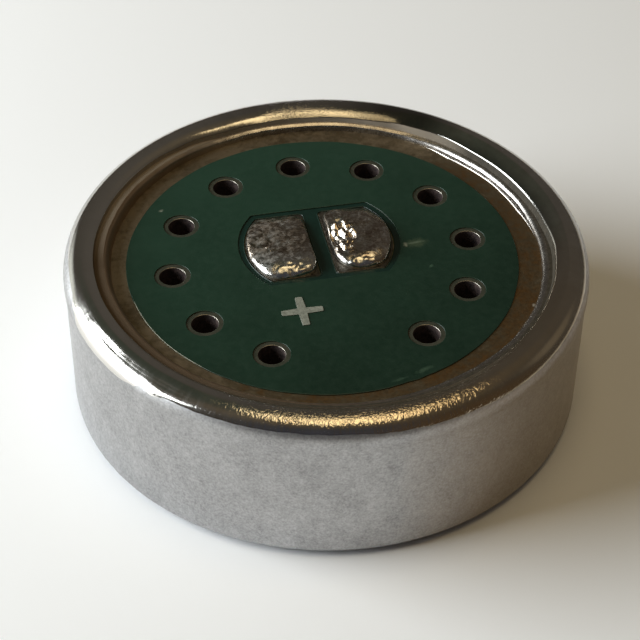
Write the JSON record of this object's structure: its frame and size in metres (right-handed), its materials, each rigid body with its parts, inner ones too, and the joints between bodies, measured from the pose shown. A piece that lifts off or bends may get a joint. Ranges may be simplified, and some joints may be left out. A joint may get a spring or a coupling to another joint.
{
  "type": "cardioid microphone capsule",
  "caption": "Round cardioid electret microphone capsule in a crimped aluminium case, with a rear circuit board that has sound holes round two soldered terminals.",
  "frame": {"origin": "middle of the case's outline on the plane of the front cloth, which the capsule stands on", "axes": "+Z from the front (sound) side to the rear (board) side along the case's axis; +X from the positive to the earth terminal; +Y from the plus sign towards the terminals"},
  "size_m": [0.016, 0.016, 0.0052],
  "materials": {
    "case_metal": "satin wall, burnished rim",
    "black_cloth": "fine non-woven",
    "brass_parts": "stamped",
    "film": "metallised film",
    "spacer_film": "clear amber",
    "chamber_plastic": "moulded",
    "damping_cloth": "felt",
    "laminate": "glass laminate",
    "copper": "bare copper, dulled",
    "mask_green": "solder mask",
    "ink": "printed",
    "solder": "grainy solder",
    "epoxy": "moulded",
    "tinned": "tin plate",
    "ceramic_body": "sintered"
  },
  "bodies": {
    "root": {"front_felt": "black_cloth", "case": "case_metal", "diaphragm_ring": "brass_parts", "diaphragm": "film", "spacer": "spacer_film", "electret_film": "film", "backplate": "brass_parts", "chamber": "chamber_plastic", "damping_disc": "damping_cloth", "gate_ring": "brass_parts", "port_cloth": "black_cloth", "circuit_board": "laminate", "ground_copper": "copper", "positive_copper": "copper", "gate_copper": "copper", "solder_mask": "mask_green", "polarity_mark": "ink", "ground_solder": "solder", "positive_solder": "solder", "fet_body": "epoxy", "fet_leads": "tinned", "capacitor_1": "ceramic_body", "capacitor_2": "ceramic_body", "capacitor_ends": "tinned", "inner_solder": "solder"}
  },
  "joints": []
}
